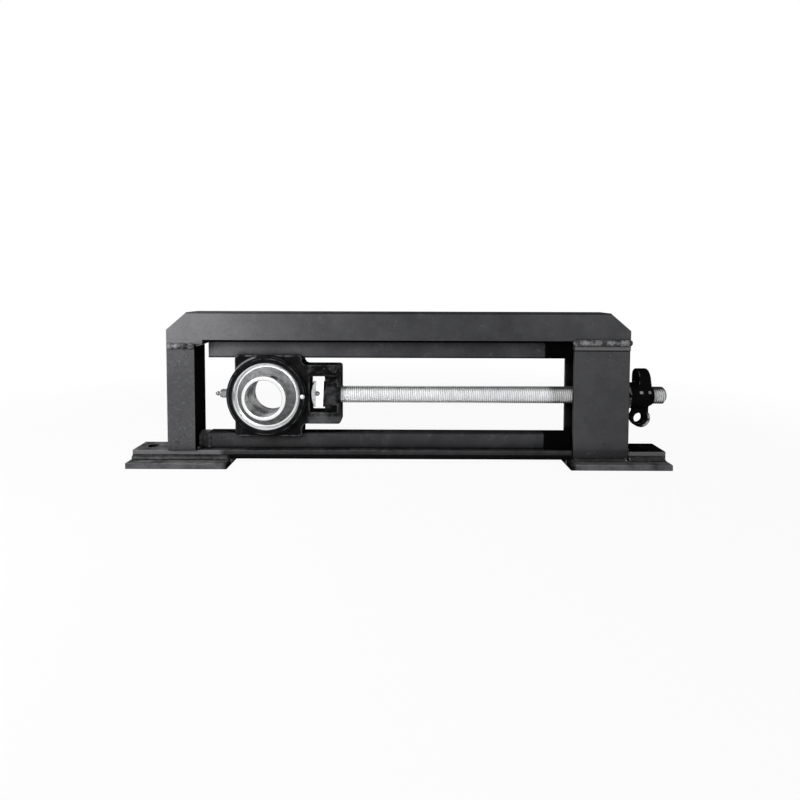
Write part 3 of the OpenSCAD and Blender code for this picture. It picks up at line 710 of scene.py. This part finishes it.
def makeScrew():
    look = screwLook
    low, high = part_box("adjusting_screw")
    piece = turnThread(low, high)
    tip = (look["crest"] - look["chamfer"]) / look["crest"]
    for x, side in ((low.x + look["chamfer"], -1), (high.x - look["chamfer"], 1)):
        start = (x, 0, screwAxis.z)
        bpy.ops.object.mode_set(mode="EDIT")
        bpy.ops.mesh.select_all(action="SELECT")
        bpy.ops.mesh.bisect(plane_co=start, plane_no=(side, 0, 0), use_fill=True, clear_outer=True)
        # the cut face, pulled out to the chamfered tip
        bpy.ops.mesh.extrude_region_move(TRANSFORM_OT_translate={"value": (side * look["chamfer"], 0, 0)})
        bpy.ops.transform.resize(value=(1, tip, tip), center_override=start)
        bpy.ops.object.mode_set(mode="OBJECT")
    bpy.ops.object.mode_set(mode="EDIT")
    bpy.ops.mesh.select_all(action="SELECT")
    bpy.ops.mesh.remove_doubles(threshold=0.00001)
    bpy.ops.mesh.normals_make_consistent(inside=False)
    bpy.ops.object.mode_set(mode="OBJECT")
    bpy.ops.object.shade_smooth_by_angle(angle=math.radians(35))
    settle(piece, "threadedScrew", "carriage", threadZinc)
    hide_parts("adjusting_screw")
    print("threadedScrew", len(piece.data.polygons), "faces")


makeScrew()


# Weld seams: overlapping drops of metal, melted together

weldLook = {
    "leg": 0.005, "footLeg": 0.008, "lean": 22, "coarse": (1.7, 1.1), "round": 0.95, "voxel": 0.0009,
    "rough": 0.001, "grain": 0.004, "stitch": 0.036, "stitches": 4, "stitchInset": 0.04, "capInset": 0.003,
    "capHeight": 0.62, "capCoarse": 0.72, "capFine": 0.68, "footInset": (0.002, 0.004), "blockEdge": 0.001,
}


# one seam from start to end, in the corner between two plates that run along towardA and towardB;
# pace and reach are the spacing and half length of its drops, as shares of its leg
def laySeam(start, end, towardA, towardB, leg, pace=0.42, reach=0.55):
    look = weldLook
    start, end, towardA, towardB = (Vector(v) for v in (start, end, towardA, towardB))
    along = (end - start).normalized()
    count = max(2, round((end - start).length / (pace * leg)))
    startFresh()
    bpy.ops.mesh.primitive_uv_sphere_add(segments=20, ring_count=12, radius=leg, location=(0, 0, 0))
    piece = bpy.context.object
    bpy.ops.object.mode_set(mode="EDIT")
    bpy.ops.mesh.select_all(action="SELECT")
    bpy.ops.transform.resize(value=(reach, look["round"], look["round"]), center_override=(0, 0, 0))
    bpy.ops.transform.rotate(value=math.radians(look["lean"]), orient_axis="Y", center_override=(0, 0, 0))
    bpy.ops.object.mode_set(mode="OBJECT")
    finishModifier(piece, "ARRAY", count=count, use_relative_offset=False, use_constant_offset=True,
                   constant_offset_displace=((end - start).length / (count - 1), 0, 0))
    finishModifier(piece, "REMESH", mode="VOXEL", voxel_size=look["voxel"], use_smooth_shade=True)
    turn = Matrix((along, towardA, towardB)).transposed().to_4x4()
    piece.matrix_world = Matrix.Translation(start) @ turn
    bpy.ops.object.transform_apply(location=True, rotation=True, scale=True)
    cloud = bpy.data.textures.new("weldRough", "CLOUDS")
    cloud.noise_scale = look["grain"]
    finishModifier(piece, "DISPLACE", texture=cloud, texture_coords="LOCAL", strength=look["rough"],
                   mid_level=0.5)
    finishModifier(piece, "SMOOTH", factor=0.4, iterations=2)
    bpy.ops.object.mode_set(mode="EDIT")
    bpy.ops.mesh.select_all(action="SELECT")
    bpy.ops.mesh.normals_make_consistent(inside=False)
    bpy.ops.object.mode_set(mode="OBJECT")
    bpy.ops.object.shade_smooth()
    return piece


# a plain block of weld metal between two corners
def fillBlock(low, high):
    startFresh()
    bpy.ops.mesh.primitive_cube_add(size=1, location=(0, 0, 0))
    piece = bpy.context.object
    bpy.ops.object.mode_set(mode="EDIT")
    bpy.ops.mesh.select_all(action="SELECT")
    bpy.ops.transform.resize(value=high - low, center_override=(0, 0, 0))
    bpy.ops.transform.translate(value=(low + high) / 2)
    bpy.ops.mesh.bevel(offset=weldLook["blockEdge"], segments=2, affect="EDGES")
    bpy.ops.object.mode_set(mode="OBJECT")
    return piece


out, back, up, right = Vector((0, -1, 0)), Vector((0, 1, 0)), Vector((0, 0, 1)), Vector((1, 0, 0))


# butt weld over the right cap plate, and the bead on the left post's face
def topSeams():
    look = weldLook
    leg, coarse, inset = look["leg"], look["coarse"], look["capInset"]
    cap, leftPost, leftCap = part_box("right_cap_plate"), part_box("left_post"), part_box("left_cap_plate")
    frontY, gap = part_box("right_post")[0].y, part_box("top_angle")[0].z - cap[1].z
    seamZ, faceZ = cap[1].z + gap * look["capHeight"], leftCap[0].z - leg / 2
    over = (cap[0].x + inset, frontY, seamZ), (cap[1].x - inset, frontY, seamZ), out, up
    face = (leftPost[0].x + leg, frontY, faceZ), (leftPost[1].x - leg, frontY, faceZ), out, up
    return [(*over, gap * look["capCoarse"], *coarse), (*over, gap * look["capFine"]),
            (*face, leg * 0.9, *coarse)]


# across the frame, at the left post, the lower rail and the toe plate
def crossSeams():
    leg = weldLook["leg"]
    rail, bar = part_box("lower_rail"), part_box("base_bar")
    postX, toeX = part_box("left_post")[1].x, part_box("right_toe_plate")[0].x
    half, barTop = (bar[1].y - bar[0].y) / 2 - leg, bar[1].z
    places = ((postX, barTop, 1, 1, half), (postX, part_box("left_cap_plate")[0].z, 1, -1, half),
              (rail[0].x, barTop, -1, 1, (rail[1].y - rail[0].y) / 2), (toeX, barTop, 1, 1, half))
    return [((x, -reach, z), (x, reach, z), right * side, up * rise, leg * 0.85)
            for x, z, side, rise, reach in places]


# along the feet, front and back
def footSeams():
    leg, footLeg = weldLook["leg"], weldLook["footLeg"]
    inner, outer = weldLook["footInset"]
    post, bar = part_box("right_post"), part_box("base_bar")
    pad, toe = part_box("left_foot_pad"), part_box("right_toe_plate")
    padTop, seams = post[0].z, []
    for side in (-1, 1):
        facing, postY, barY = Vector((0, side, 0)), side * post[1].y, side * bar[1].y
        start, end = (post[0].x + inner, postY, padTop), (post[1].x - outer, postY, padTop)
        seams.append((start, end, facing, up, leg * 0.9))
        for low, high in (pad, toe):
            start, end = (low.x + footLeg / 2, barY, padTop), (high.x - footLeg / 2, barY, padTop)
            seams.append((start, end, facing, up, footLeg * 0.9))
    return seams


# upright ones between the left post and the lower rail, and stitches behind both rails
def railSeams(fillY):
    leg, stitch, last = weldLook["leg"], weldLook["stitch"], weldLook["stitches"] - 1
    inset = weldLook["stitchInset"]
    rail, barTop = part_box("lower_rail"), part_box("base_bar")[1].z
    seams = []
    for x, side in ((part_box("left_post")[1].x, 1), (rail[0].x, -1)):
        start, end = (x, -fillY, barTop + leg), (x, -fillY, rail[1].z - leg)
        seams.append((start, end, right * side, out, leg * 0.9))
    firstX, lastX, backY = rail[0].x + inset, rail[1].x - inset - stitch, rail[1].y
    for i in range(last + 1):
        x = firstX + i * (lastX - firstX) / last
        for z, rise in ((barTop, 1), (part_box("upper_rail")[1].z, -1)):
            seams.append(((x, backY, z), (x + stitch, backY, z), back, up * rise, leg * 0.85))
    return seams


def layWelds():
    leg = weldLook["leg"]
    rail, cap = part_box("lower_rail"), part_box("right_cap_plate")
    fillY = (rail[1].y - rail[0].y - leg) / 2
    seams = topSeams() + crossSeams() + footSeams() + railSeams(fillY)
    beads = [laySeam(*seam) for seam in seams]
    # blocks between the left post and the lower rail, and behind the weld over the right cap plate
    beside = Vector((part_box("left_post")[1].x, -fillY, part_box("base_bar")[1].z))
    beads.append(fillBlock(beside, Vector((rail[0].x, fillY, rail[1].z))))
    behind = Vector((cap[0].x, -fillY, cap[1].z))
    beads.append(fillBlock(behind, Vector((cap[0].x + 2 * leg, fillY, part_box("top_angle")[0].z))))
    startFresh()
    for bead in beads:
        bead.select_set(True)
    bpy.context.view_layer.objects.active = beads[0]
    bpy.ops.object.join()
    piece = settle(bpy.context.object, "weldSeams", "frame", weldPaint)
    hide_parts("weld_beads")
    print("weldSeams", len(seams), "seams,", len(piece.data.polygons), "faces")


layWelds()


# Drops of spatter that stuck beside the welds on the front of the frame

# the insets keep drops off the left, right, top and bottom edges of each post
spatterLook = {"seed": 11, "count": 70, "small": 0.0004, "large": 0.0012, "spread": 0.014,
               "leftInset": (0.002, 0.002, 0.006, 0.01), "rightInset": (0.002, 0.003, 0.004, 0.007)}


def makeSpatter():
    look = spatterLook
    dice = random.Random(look["seed"])
    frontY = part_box("right_post")[0].y
    rows, drops = [], []
    for post, inset in (("left_post", "leftInset"), ("right_post", "rightInset")):
        low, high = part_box(post)
        leftIn, rightIn, topIn, lowIn = look[inset]
        rows.append((low.x + leftIn, high.x - rightIn, high.z - topIn, low.z + lowIn))
    for number in range(look["count"]):
        x0, x1, high, low = rows[number % 2]
        fall = abs(dice.gauss(0, look["spread"]))
        z = high - fall if number % 4 < 2 else low + fall
        radius = look["small"] + (look["large"] - look["small"]) * dice.random() ** 3
        place = (dice.uniform(x0, x1), frontY, z)
        startFresh()
        bpy.ops.mesh.primitive_ico_sphere_add(subdivisions=2, radius=radius, location=place)
        bpy.ops.object.transform_apply(location=True, rotation=True, scale=True)
        bpy.ops.object.shade_smooth()
        drops.append(bpy.context.object)
    for drop in drops:
        drop.select_set(True)
    bpy.ops.object.join()
    settle(bpy.context.object, "weldSpatter", "frame", weldPaint)
    print("weldSpatter", len(drops), "drops")


makeSpatter()


# Finishes on the CAD nodes

nodeFinishes = (
    (framePaint, ["left_foot_pad", "right_foot_pad", "base_bar", "right_toe_plate", "lower_rail",
                  "upper_rail", "top_angle", "left_post", "right_post", "left_cap_plate",
                  "right_cap_plate"]),
    (bearingSteel, ["outer_ring", "balls"]),
    (ringSteel, ["inner_ring"]),
    (pressedSteel, ["front_flinger", "rear_flinger", "cage"]),
    (nutPaint, ["thrust_washer"]),
    (zincPlate, ["slot_nut", "locating_pin"]),
    (zincDull, ["grease_nipple"]),
    (sealRubber, ["front_seal", "rear_seal"]),
    (springSteel, ["lock_pin", "set_screws"]),
)
for material, names in nodeFinishes:
    for nodeName in names:
        wearFinish(nodes[nodeName], material)
print("nodes finished")


# Stage, lights and camera

stageLook = {"size": 9.0, "wall": 3.0, "sweep": 1.2, "floor": (0.6, 0.6, 0.6), "lift": 0.94, "near": 0.5,
             "far": 1.1, "fill": 0.05}


# a floor that sweeps up into the back wall
def makeSweep():
    look = stageLook
    startFresh()
    bpy.ops.mesh.primitive_plane_add(size=look["size"], location=(0, 0, 0))
    floor = bpy.context.object
    floor.name = "studioFloor"
    bpy.ops.object.mode_set(mode="EDIT")
    bpy.ops.mesh.select_mode(type="EDGE")
    bpy.ops.mesh.select_all(action="DESELECT")
    bpy.ops.object.mode_set(mode="OBJECT")
    for edge in floor.data.edges:
        edge.select = all(floor.data.vertices[v].co.y > 0 for v in edge.vertices)
    bpy.ops.object.mode_set(mode="EDIT")
    bpy.ops.mesh.extrude_region_move(TRANSFORM_OT_translate={"value": (0, 0, look["wall"])})
    bpy.ops.object.mode_set(mode="OBJECT")
    finishModifier(floor, "BEVEL", width=look["sweep"], segments=12, limit_method="ANGLE")
    bpy.ops.object.shade_smooth()
    return floor


# the floor keeps some of the object's shadow near it, and is plain white far off
def makeStage():
    look = stageLook
    floor = makeSweep()
    f = Finish("studioWhite")
    ray = f.node("ShaderNodeLightPath").socket.node
    seen = Wire(f, ray.outputs["Is Camera Ray"])
    for kind in ("Is Glossy Ray", "Is Transmission Ray"):
        seen = seen.calc("MAXIMUM", seen, Wire(f, ray.outputs[kind]))
    x, y = parts(f, f.place())[:2]
    away = length(x, y).rise(look["near"], look["far"])
    glow = f.node("ShaderNodeEmission", {}, {"Color": (1.0, 1.0, 1.0), "Strength": 1.0})
    f.shade(Base_Color=look["floor"], Roughness=0.9, Specular_IOR_Level=0.0)
    white = seen * (look["lift"] + away * (1 - look["lift"]))
    mixed = f.node("ShaderNodeMixShader", {}, {0: white, 1: Wire(f, f.shader.outputs["BSDF"]), 2: glow})
    f.tree.links.new(mixed.socket, f.tree.nodes["Material Output"].inputs["Surface"])
    wearFinish(floor, f.material)


# white to the camera and in reflections, and a weak light otherwise
def makeWorld():
    world = bpy.data.worlds.new("studio")
    bpy.context.scene.world = world
    world.use_nodes = True
    tree = world.node_tree
    ground = tree.nodes["Background"]
    ground.inputs["Color"].default_value = (1, 1, 1, 1)
    ray = tree.nodes.new("ShaderNodeLightPath")
    seen = ray.outputs["Is Camera Ray"]
    for kind in ("Is Glossy Ray", "Is Transmission Ray"):
        either = tree.nodes.new("ShaderNodeMath")
        either.operation = "MAXIMUM"
        tree.links.new(seen, either.inputs[0])
        tree.links.new(ray.outputs[kind], either.inputs[1])
        seen = either.outputs[0]
    level = tree.nodes.new("ShaderNodeMapRange")
    level.inputs["To Min"].default_value = stageLook["fill"]
    tree.links.new(seen, level.inputs["Value"])
    tree.links.new(level.outputs[0], ground.inputs["Strength"])


lamps = {
    "keyLeft": {"place": (-0.7, -0.55, 0.5), "aim": (-0.3, 0, 0.15), "size": (0.3, 0.4), "power": 8},
    "frontSoft": {"place": (0.2, -1.65, 0.62), "aim": (0.1, 0, 0.1), "size": (0.6, 0.4), "power": 14},
    "topSoft": {"place": (-0.3, -0.4, 1.5), "aim": (0, 0, 0.1), "size": (1.2, 0.8), "power": 2},
    "backSoft": {"place": (0, 1.6, 0.14), "aim": (0, 0, 0.12), "size": (1.4, 0.24), "power": 22},
    "rightRim": {"place": (1.3, 0.5, 0.5), "aim": (0.3, 0, 0.1), "size": (0.5, 0.5), "power": 2},
}


def makeLamps():
    for name, look in lamps.items():
        data = bpy.data.lights.new(name, "AREA")
        data.shape = "RECTANGLE"
        data.size, data.size_y = look["size"]
        data.energy = look["power"]
        lamp = bpy.data.objects.new(name, data)
        lamp.location = look["place"]
        beam = Vector(look["aim"]) - Vector(look["place"])
        lamp.rotation_euler = beam.to_track_quat("-Z", "Y").to_euler()
        bpy.context.scene.collection.objects.link(lamp)


cameraLook = {"lens": 22.51, "place": (0, -0.7011, 0.24485), "down": 2.35, "yaw": -0.116, "roll": 0.177,
              "shift": (0.00225, -0.1145)}


def makeCamera():
    look = cameraLook
    data = bpy.data.cameras.new("photoCamera")
    data.lens = look["lens"]
    data.sensor_width = 36
    data.shift_x, data.shift_y = look["shift"]
    data.clip_start = 0.01
    camera = bpy.data.objects.new("photoCamera", data)
    bpy.context.scene.collection.objects.link(camera)
    down, yaw = math.radians(look["down"]), math.radians(look["yaw"])
    ahead = Vector((math.sin(yaw) * math.cos(down), math.cos(yaw) * math.cos(down), -math.sin(down)))
    aside = Vector((math.cos(yaw), -math.sin(yaw), 0))
    facing = Matrix((aside, aside.cross(ahead), -ahead)).transposed()
    turned = facing @ Matrix.Rotation(math.radians(look["roll"]), 3, "Z")
    camera.matrix_world = Matrix.Translation(look["place"]) @ turned.to_4x4()
    bpy.context.scene.camera = camera


makeStage()
makeWorld()
makeLamps()
makeCamera()
bpy.context.scene.view_settings.view_transform = "Standard"
print("stage, lights and camera set")
